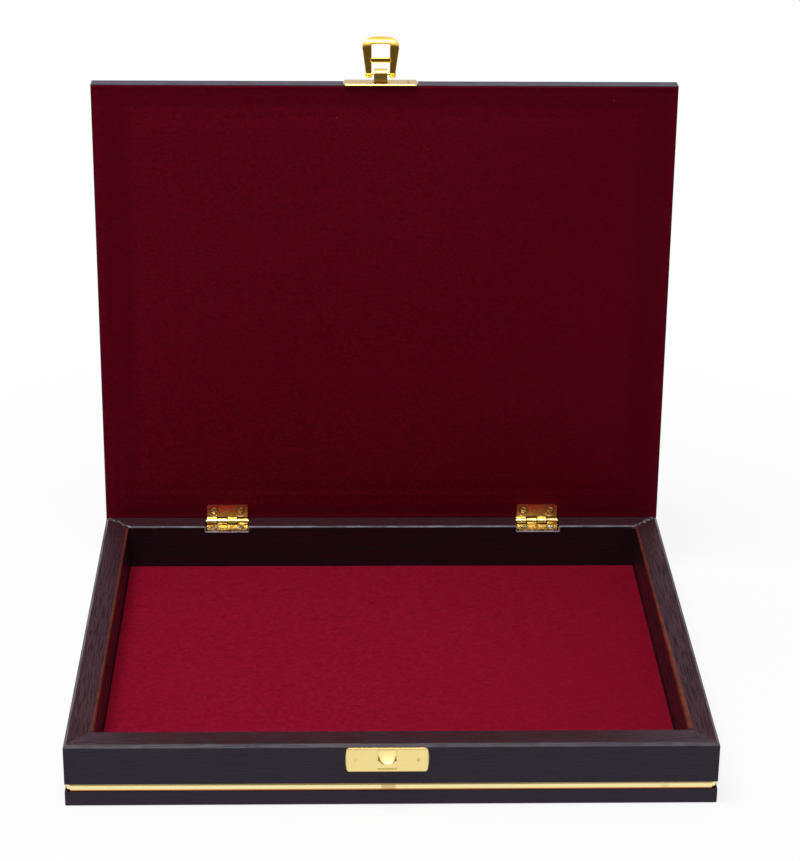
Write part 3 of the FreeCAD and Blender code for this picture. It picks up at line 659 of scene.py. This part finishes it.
def gilt_finish(name):
    """Bright gilt foil on the inlay: finely brushed along its length, thin in a few places, and darker in a patch on
    the front near the middle. Its top carries painted shade and its lower edge a painted reflection.
    """
    settings = bpy.context.scene.presentation_box_metal
    finish = new_finish(name)
    place = finish.object_place()
    x, y, z = finish.axes(place)
    low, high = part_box("inlay_strip_front")
    brushing = finish.noise(place, 1 / (0.4 * MM), detail=2)
    thin = finish.step(finish.noise(place, 1 / (14 * MM), detail=4), 0.6, 0.75)
    # A darker patch on the front strip, a little left of the middle.
    front_middle_patch = (1 - finish.step(abs(x + 1.5 * MM), 2.4 * MM, 3.4 * MM)) * (1 - finish.step(y, -0.1, 0))
    # Painted reflection: the strip's lowest millimetre drawn to a warm dark colour.
    rubbed_and_reflection = 1 - finish.step(z - low.z, 0.75 * MM, 1.1 * MM)
    dull_and_shade = finish.most(0.35 * thin, 0.5 * front_middle_patch)
    # Painted shade along the strip's top, under the groove's upper lip.
    dull_and_shade = finish.most(dull_and_shade, 0.5 * finish.step(z - high.z, -0.9 * MM, -0.5 * MM))
    colour = finish.mix(dull_and_shade, settings.gilt, settings.tarnish)
    colour = finish.mix(0.9 * rubbed_and_reflection, colour, PAINTED_STRIP_REFLECTION)
    return finish.surface(
        base_color=colour,
        metallic=1.0,
        roughness=0.24 + 0.1 * brushing + 0.1 * thin,
        normal=finish.bump(brushing, 0.02 * MM, 0.3),
    )


def plating_finish(name):
    """Bright plating with a faint stain in patches."""
    settings = bpy.context.scene.presentation_box_metal
    finish = new_finish(name)
    place = finish.object_place()
    stain = finish.step(finish.noise(place, 1 / (0.8 * MM), detail=3), 0.5, 0.75)
    colour = finish.mix(0.5 * stain, settings.plating, [0.45 * part for part in settings.plating])
    return finish.surface(base_color=colour, metallic=1.0, roughness=0.26 + 0.15 * stain)


class PRESENTATION_BOX_OT_stain_wood(bpy.types.Operator):
    """Stains and lacquers the rails of the base and the lid, each with its grain along it"""

    bl_idname = "presentation_box.stain_wood"
    bl_label = "Stain the wood"

    def execute(self, context):
        paint(["base_front_rail", "base_back_rail"], wood_finish("base_wood_long", "X", False))
        paint(["base_left_rail", "base_right_rail"], wood_finish("base_wood_short", "Y", False))
        paint(["lid_front_rail", "lid_back_rail", "lid_top_panel"], wood_finish("lid_wood_long", "X", True))
        paint(["lid_left_rail", "lid_right_rail"], wood_finish("lid_wood_short", "Y", True))
        paint(["bottom_panel", "lining_board", "lid_filler_board"], board_finish("hardboard"))
        return {"FINISHED"}


class PRESENTATION_BOX_OT_lay_floor_velvet(bpy.types.Operator):
    """Lays the velvet over the lining board, turned down round its edges"""

    bl_idname = "presentation_box.lay_floor_velvet"
    bl_label = "Lay the floor velvet"

    def execute(self, context):
        settings = context.scene.presentation_box_velvet
        low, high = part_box("base_velvet")
        bend = 0.5 * MM
        fall = high.z - low.z

        def relief(x, y, across, along):
            return settings.ripple * ripples(x, y, 45 * MM, seed=4)

        points, faces = covering(high.x, high.y, bend, fall, 1.5 * MM, relief)
        points[..., 2] += high.z
        cloth = new_piece("floor_velvet", points, faces, velvet_finish("floor_velvet"), "base")
        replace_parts(cloth, "base_velvet")
        covering_size(high.x, high.y, bend, fall)
        return {"FINISHED"}


class PRESENTATION_BOX_OT_line_lid(bpy.types.Operator):
    """Lines the lid with velvet, padded in the middle, with creases where the boards under it meet"""

    bl_idname = "presentation_box.line_lid"
    bl_label = "Line the lid"

    def execute(self, context):
        settings = context.scene.presentation_box_velvet
        low, high = shut_box("lid_velvet")
        half_width, half_depth = (high[:2] - low[:2]) / 2
        middle = (low[1] + high[1]) / 2
        bend = 0.4 * MM
        fall = high[2] - low[2]
        joint = 11.6 * MM

        def relief(x, y, across, along):
            rim = np.minimum(across, along)
            pad = settings.padding * (smooth_step(rim, joint, joint + 9 * MM) - 1)
            crease = 0.22 * MM * np.exp(-(((rim - joint) / (0.9 * MM)) ** 2))
            mitre = 0.2 * MM * np.exp(-(((across - along) / (1.1 * MM)) ** 2)) * (rim < joint)
            return pad + crease - mitre + settings.ripple * (ripples(x, y, 50 * MM, seed=9) - 0.5)

        points, faces = covering(half_width, half_depth, bend, fall, 1.2 * MM, relief)
        points[..., 0] *= -1
        points[..., 1] += middle
        points[..., 2] = low[2] - points[..., 2]
        # The lid's velvet is drawn darker than the floor's: painted shade.
        velvet = velvet_finish("lid_lining", settings.lid_painted_dimming, is_lid=True)
        cloth = new_piece("lid_lining", opened(points), faces, velvet, "lid")
        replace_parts(cloth, "lid_velvet")
        flat = covering_size(half_width, half_depth, bend, fall)
        return {"FINISHED"}


class PRESENTATION_BOX_OT_gild_strip(bpy.types.Operator):
    """Runs the gilt strip round the base, as a low half-round in its groove"""

    bl_idname = "presentation_box.gild_strip"
    bl_label = "Gild the strip"

    def execute(self, context):
        settings = context.scene.presentation_box_metal
        nodes = [f"inlay_strip_{side}" for side in ("front", "back", *HANDS)]
        low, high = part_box("inlay_strip_front")
        points, faces = self.half_round(
            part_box("inlay_strip_right")[1].x, -low.y, low.z, high.z, high.y - low.y, settings.strip_crown
        )
        strip = new_piece("gilt_strip", points, faces, gilt_finish("gilt_strip"), "base")
        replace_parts(strip, *nodes)
        return {"FINISHED"}

    def half_round(self, half_width, half_depth, low, high, thickness, crown):
        """A half-round carried round an oblong path with round corners, where it sinks into its groove.

        Across the strip, v runs from -1 at its lower edge to 1 at its upper one, and the face stands
        crown * sqrt(1 - |v|^p) out from the path, with p 8 below the middle and 3 above it; its back is
        flat, a thickness in. Over a short lead on each side of a corner, crown and height shrink to a part.
        """
        corner, lead, sunk_crown, sunk_height = 1.1 * MM, 0.5 * MM, 0.1, 0.75
        slide = np.tile([-lead, 0, 0, 0, 0, 0, 0, 0, lead], 4)[:, None]
        quarter = np.concatenate([[0], np.linspace(0, np.pi / 2, 7), [np.pi / 2]])
        turn = np.concatenate([quarter + side * np.pi / 2 for side in range(4)])
        out = np.stack([np.cos(turn), np.sin(turn)], axis=-1)
        along = np.stack([-np.sin(turn), np.cos(turn)], axis=-1)
        bend = np.repeat([[1, 1], [-1, 1], [-1, -1], [1, -1]], len(quarter), axis=0)
        path = bend * [half_width - corner, half_depth - corner] + slide * along
        v = np.sin(np.linspace(-np.pi / 2, np.pi / 2, 15))
        face = crown * np.sqrt(1 - np.abs(v) ** np.where(v < 0, 8, 3))
        sunk = slide == 0
        stand = np.where(sunk, sunk_crown, 1) * np.concatenate([[0], face, [0, 0]])
        stand = stand - thickness * np.concatenate([[1], 0 * v, [1, 1]])
        height = np.where(sunk, sunk_height, 1) * np.concatenate([[-1], v, [1, -1]])
        level = height * (high - low) / 2 + (high + low) / 2
        flat = path[:, None] + (corner + stand)[..., None] * out[:, None]
        points = np.concatenate([flat, level[..., None]], axis=-1)
        points = np.concatenate([points, points[:1]])
        return points, grid_faces(*points.shape[:2])[:, ::-1]


def slotted_screw(radius, head, length, turn):
    """A domed screw, its head on the XY plane: a turned profile, with a slot at that angle pressed in.

    The dome's height at radius r is head * (1 - (r / radius)^2), less up to 0.7 head inside the slot.
    """
    edge = radius * np.cos(np.linspace(0, np.pi / 2, 14))
    dome = head * (1 - (edge / radius) ** 2)
    shank = radius * np.array([0, 0.5, 0.5, 1])
    points, faces = lathe(np.concatenate([shank, edge]), np.concatenate([[-length] * 2, [-0.3 * MM] * 2, dome]), 72)
    across = points[..., 1] * math.cos(turn) - points[..., 0] * math.sin(turn)
    pressed = 1 - smooth_step(np.abs(across), 0.14 * radius, 0.2 * radius)
    points[..., 2] = np.where(points[..., 2] > 0, points[..., 2] - 0.7 * head * pressed, points[..., 2])
    return points, faces


class PRESENTATION_BOX_OT_polish_hinges(bpy.types.Operator):
    """Gives the hinges worn brass, a little more tarnished on the base's leaves"""

    bl_idname = "presentation_box.polish_hinges"
    bl_label = "Polish the hinges"

    def execute(self, context):
        base_brass = brass_finish("base_leaf_brass", 0.55, 0.24, "brass", "base_screws", 1)
        lid_brass = brass_finish("lid_leaf_brass", 0.45, 0.26, "brass", "lid_screws", 2)
        paint([f"{hand}_hinge_base_leaf" for hand in HANDS], base_brass)
        paint([f"{hand}_hinge_lid_leaf" for hand in HANDS], lid_brass)
        paint([f"{hand}_hinge_pin" for hand in HANDS], brass_finish("hinge_pin_brass", 0.2, 0.25))
        return {"FINISHED"}


class PRESENTATION_BOX_OT_drive_screws(bpy.types.Operator):
    """Drives a pair of domed, slotted screws through each hinge leaf: plated in the base, brass in the lid"""

    bl_idname = "presentation_box.drive_screws"
    bl_label = "Drive the screws"

    def execute(self, context):
        plating = plating_finish("screw_plating")
        brass = brass_finish("lid_screw_brass", 0.75, 0.3)
        for number, hand in enumerate(HANDS):
            node = f"{hand}_hinge_base_screws"
            low, high = (np.array(corner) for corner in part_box(node))
            points, faces = self.pair(low, high, number)
            points[:, 2] += high[2] - HEAD_ROOM
            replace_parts(new_piece(f"{hand}_base_screws", points, faces, plating, "base"), node)
            node = f"{hand}_hinge_lid_screws"
            low, high = shut_box(node)
            points, faces = self.pair(low, high, number + 2)
            points[:, 2] = low[2] + HEAD_ROOM - points[:, 2]
            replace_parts(new_piece(f"{hand}_lid_screws", opened(points), faces[:, ::-1], brass, "lid"), node)
        return {"FINISHED"}

    def pair(self, low, high, seed):
        """Two screws that fill the box of a pair, heads on the XY plane."""
        radius = (high[1] - low[1]) / 2
        turns = np.random.default_rng(seed).uniform(0, np.pi, 2)
        screws = []
        for x, turn in zip((low[0] + radius, high[0] - radius), turns):
            points, faces = slotted_screw(radius, HEAD_DOME, high[2] - low[2] - HEAD_ROOM, turn)
            screws.append((points + [x, (low[1] + high[1]) / 2, 0], faces))
        return joined(*screws)


class PRESENTATION_BOX_OT_polish_latch(bpy.types.Operator):
    """Gives the latch and its strike polished brass"""

    bl_idname = "presentation_box.polish_latch"
    bl_label = "Polish the latch"

    def execute(self, context):
        paint(["strike_plate"], brass_finish("strike_brass", 0.08, 0.26, rim="strike_plate"))
        paint(["latch_plate"], brass_finish("latch_plate_brass", 0.08, 0.22, "warm_brass"))
        paint(["latch_pin"], brass_finish("latch_pin_brass", 0.05, 0.2))
        paint(["latch_nails", "strike_nails"], brass_finish("nail_brass", 0.45, 0.35))
        return {"FINISHED"}


class PRESENTATION_BOX_OT_hang_hasp(bpy.types.Operator):
    """Hangs the hasp on its pin: a rounded bail with a cross bar, its grip curled away from the lid"""

    bl_idname = "presentation_box.hang_hasp"
    bl_label = "Hang the hasp"

    def execute(self, context):
        points, faces = joined(self.bail(), self.bar())
        points, faces = joined((self.curled(points), faces), *(self.eye(side) for side in (-1, 1)))
        pin = next(joint for joint in frame["joints"] if joint["name"] == "latch_pivot")
        points = opened(points * [1, -1, 1] + shut(np.array(pin["pos_m"])))
        brass = brass_finish("hasp_brass", 0.12, 0.2, "deep_brass")
        hasp = new_piece("hasp", points, faces[:, ::-1], brass, "hasp")
        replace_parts(hasp, "latch_hasp")
        return {"FINISHED"}

    def bail(self):
        """The two arms and the crown in one strap, laid flat: y counts from the pin towards the grip.

        Its outer edge is straight up the arms and a superellipse round the crown; its inner edge is
        straight up the arms and a superellipse of a higher power round the window's top.
        """
        turn = np.linspace(0, np.pi, 49)
        outer, inner = (6.5, 8.15, 12.0, 17.9, 2.5), (4, 4, 12.4, 14.0, 7)
        edges = []
        for foot, head, shoulder, top, power in (outer, inner):
            arm = np.linspace(0, 1, 13)[:-1, None]
            left = np.array([-foot, 0]) * (1 - arm) + np.array([-head, shoulder]) * arm
            x = -head * np.sign(np.cos(turn)) * np.abs(np.cos(turn)) ** (2 / power)
            y = shoulder + (top - shoulder) * np.abs(np.sin(turn)) ** (2 / power)
            edges.append(np.concatenate([left, np.stack([x, y], -1), (left * [-1, 1])[::-1]]) * MM)
        return strap(edges[1], edges[0], HASP_THICKNESS, HASP_CORNER)

    def bar(self):
        """The cross bar between the arms, a strap on a straight path."""
        x = np.linspace(-4.6, 4.6, 9)
        low, high = (np.stack([x, np.full_like(x, y)], -1) * MM for y in (5.55, 7.75))
        return strap(low, high, HASP_THICKNESS, HASP_CORNER)

    def curled(self, points):
        """Lays the strap on the eyes' near side and bends it, past 11 mm from the pin, on a radius of 6.5 mm."""
        start, radius = 11 * MM, 6.5 * MM
        x, y, z = points.T
        angle = np.maximum(y - start, 0) / radius
        reach = radius - (z + HASP_THICKNESS / 2)
        along = np.minimum(y, start) + reach * np.sin(angle)
        return np.stack([x, along, radius - reach * np.cos(angle) - EYE_RADIUS], axis=-1)

    def eye(self, side):
        """The foot of an arm, rolled round the pin: a short turning about X with a bore."""
        bore, bevel = 0.85 * MM, 1.35 * MM
        edge = np.array([bore, bevel, EYE_RADIUS, EYE_RADIUS, bevel, bore, bore])
        along = np.array([4, 4, 4.2, 6.4, 6.6, 6.6, 4]) * MM
        points, faces = lathe(edge, along, 32)
        points = points.reshape(-1, 3)[:, [2, 0, 1]] * [side, 1, 1]
        return points, faces[:, ::side]


class PRESENTATION_BOX_OT_chip_mortises(bpy.types.Operator):
    """Puts a rough lip of filler where the hinge mortises were chopped through the back rail's inner face"""

    bl_idname = "presentation_box.chip_mortises"
    bl_label = "Chip the mortises"

    def execute(self, context):
        settings = context.scene.presentation_box_wood
        finish = new_finish("mortise_filler")
        place = finish.object_place()
        grain = finish.noise(place, 1 / (0.7 * MM), detail=3)
        colour = finish.mix(finish.step(grain, 0.3, 0.75), [0.45 * part for part in settings.filler], settings.filler)
        material = finish.surface(base_color=colour, roughness=0.7, normal=finish.bump(grain, 0.1 * MM, 0.5))
        inner_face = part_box("base_back_rail")[0].y
        gap, sag = 0.55 * MM, 0.12 * MM
        for seed, hand in enumerate(HANDS):
            low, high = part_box(f"{hand}_hinge_base_leaf")
            left, right = low.x - gap, high.x + gap
            corners = np.array([[left, RIM_HEIGHT], [left, low.z], [right, low.z], [right, RIM_HEIGHT]])
            walked = np.concatenate([[0], np.cumsum(np.linalg.norm(np.diff(corners, axis=0), axis=1))])
            steps = np.linspace(0, walked[-1], 220)
            x = np.interp(steps, walked, corners[:, 0])
            z = np.interp(steps, walked, corners[:, 1]) - sag
            rough = ripples(steps, np.zeros_like(steps), 2.5 * MM, seed=20 + seed)
            ends = smooth_step(np.minimum(steps, walked[-1] - steps), 0, 0.6 * MM)
            path = np.stack([x, np.full_like(x, inner_face + 0.1 * MM), z + sag * rough], axis=-1)
            radius = (0.32 + 0.22 * rough) * MM * np.maximum(ends, 0.02)
            points, faces = tube(path, radius, np.array([0, 1, 0]), 10)
            new_piece(f"{hand}_mortise_lip", points, faces, material, "base")
        return {"FINISHED"}


class PRESENTATION_BOX_OT_set_stage(bpy.types.Operator):
    """Sets the white floor, the soft light and the camera"""

    bl_idname = "presentation_box.set_stage"
    bl_label = "Set the stage"

    def execute(self, context):
        settings = context.scene.presentation_box_stage
        self.lay_floor(settings)
        self.light_room(context, settings)
        self.hang_lamp(settings)
        self.aim_camera(context, settings)
        context.scene.view_settings.view_transform = "Standard"
        return {"FINISHED"}

    def lay_floor(self, settings):
        """White paper that shows as white and keeps a faint shadow; far in front, reflections see the dim room."""
        finish = new_finish("paper")
        x, y, _ = finish.axes(finish.object_place())
        is_camera = finish.node("ShaderNodeLightPath", output="Is Camera Ray")
        is_glossy = finish.node("ShaderNodeLightPath", output="Is Glossy Ray")
        is_through = finish.node("ShaderNodeLightPath", output="Is Transmission Ray")
        near = finish.step(y, -0.42, -0.24)
        glow = finish.mix(finish.most(is_camera, near), [settings.surroundings] * 3, [1, 1, 1])
        away = finish.step(x * x + y * y, 0.2**2, 0.45**2)
        shown = (0.84 + 0.16 * away) * finish.most(is_camera, finish.most(is_glossy, is_through))
        paper = finish.mix(near, [settings.surroundings] * 3, settings.paper)
        lit = finish.node("ShaderNodeBsdfDiffuse", {}, {"Color": paper})
        white = finish.node("ShaderNodeEmission", {}, {"Color": glow})
        both = finish.node("ShaderNodeMixShader", {}, {0: shown, 1: lit, 2: white})
        finish.node("ShaderNodeOutputMaterial", {}, {"Surface": both})
        reach, level = 4, -0.05 * MM
        mesh = bpy.data.meshes.new("floor")
        corners = [(-reach, -reach, level), (reach, -reach, level), (reach, reach, level), (-reach, reach, level)]
        mesh.from_pydata(corners, [], [(0, 1, 2, 3)])
        mesh.materials.append(finish.owner)
        floor = bpy.data.objects.new("floor", mesh)
        bpy.context.scene.collection.objects.link(floor)

    def light_room(self, context, settings):
        """White to the camera; to other rays, bright above and behind the box and dim in front of it."""
        world = context.scene.world or bpy.data.worlds.new("room")
        context.scene.world = world
        finish = Finish(world)
        _, y, z = finish.axes(finish.node("ShaderNodeTexCoord", output="Generated"))
        height = y + 0.9 * z
        is_camera = finish.node("ShaderNodeLightPath", output="Is Camera Ray")
        is_glossy = finish.node("ShaderNodeLightPath", output="Is Glossy Ray")
        mirrored = is_glossy * finish.step(height, -0.6, -0.1)
        bright = finish.most(is_camera, finish.most(mirrored, 0.5 * finish.step(height, 0.3, 1.1)))
        white = finish.mix(is_glossy * finish.step(y, 0.6, 0.85), [1, 1, 1], BACK_OF_ROOM)
        colour = finish.mix(bright, [settings.surroundings] * 3, white)
        sky = finish.node("ShaderNodeBackground", {}, {"Color": colour})
        finish.node("ShaderNodeOutputWorld", {}, {"Surface": sky})

    def hang_lamp(self, settings):
        lamp = bpy.data.lights.new("key", "AREA")
        lamp.shape = "RECTANGLE"
        lamp.size, lamp.size_y = 0.9, 0.5
        lamp.energy = settings.key_power
        hung = bpy.data.objects.new("key", lamp)
        hung.location = (-0.2, -0.27, 1.44)
        hung.rotation_euler = (Vector((0, 0, 0.05)) - hung.location).to_track_quat("-Z", "Y").to_euler()
        bpy.context.scene.collection.objects.link(hung)

    def aim_camera(self, context, settings):
        """The photograph's viewpoint: where the camera stood, and its yaw, pitch and roll."""
        place = Vector((-0.0246, -0.9621, 0.5297))
        yaw, pitch, roll = (math.radians(angle) for angle in (1.747, 23.206, -0.635))
        ahead = Vector((math.sin(yaw) * math.cos(pitch), math.cos(yaw) * math.cos(pitch), -math.sin(pitch)))
        level = Vector((math.cos(yaw), -math.sin(yaw), 0))
        down = ahead.cross(level)
        right = level * math.cos(roll) + down * math.sin(roll)
        turn = Matrix((right, right.cross(ahead), -ahead)).transposed()
        lens = bpy.data.cameras.new("camera")
        lens.lens = settings.focal_length
        lens.sensor_width = 36
        lens.clip_start = 0.01
        camera = bpy.data.objects.new("camera", lens)
        camera.matrix_world = Matrix.Translation(place) @ turn.to_4x4()
        context.scene.collection.objects.link(camera)
        context.scene.camera = camera


OPERATORS = (
    PRESENTATION_BOX_OT_stain_wood,
    PRESENTATION_BOX_OT_lay_floor_velvet,
    PRESENTATION_BOX_OT_line_lid,
    PRESENTATION_BOX_OT_gild_strip,
    PRESENTATION_BOX_OT_polish_hinges,
    PRESENTATION_BOX_OT_drive_screws,
    PRESENTATION_BOX_OT_polish_latch,
    PRESENTATION_BOX_OT_hang_hasp,
    PRESENTATION_BOX_OT_chip_mortises,
    PRESENTATION_BOX_OT_set_stage,
)
SETTINGS = {
    "presentation_box_wood": WoodSettings,
    "presentation_box_velvet": VelvetSettings,
    "presentation_box_metal": MetalSettings,
    "presentation_box_stage": StageSettings,
}


class PRESENTATION_BOX_PT_panel(bpy.types.Panel):
    """Lists the settings and the steps in order"""

    bl_label = "Presentation Box"
    bl_space_type = "VIEW_3D"
    bl_region_type = "UI"
    bl_category = "Presentation Box"

    def draw(self, context):
        for name in SETTINGS:
            settings = getattr(context.scene, name)
            box = self.layout.box()
            for key in settings.bl_rna.properties.keys():
                if key not in ("rna_type", "name"):
                    box.prop(settings, key)
        for operator in OPERATORS:
            self.layout.operator(operator.bl_idname)


CLASSES = (*SETTINGS.values(), *OPERATORS, PRESENTATION_BOX_PT_panel)


def register():
    for cls in CLASSES:
        bpy.utils.register_class(cls)
    for name, cls in SETTINGS.items():
        setattr(bpy.types.Scene, name, PointerProperty(type=cls))


def unregister():
    for name in SETTINGS:
        delattr(bpy.types.Scene, name)
    for cls in reversed(CLASSES):
        bpy.utils.unregister_class(cls)


def main():
    register()
    for operator in OPERATORS:
        group, step = operator.bl_idname.split(".")
        getattr(getattr(bpy.ops, group), step)()


if __name__ == "__main__":
    main()
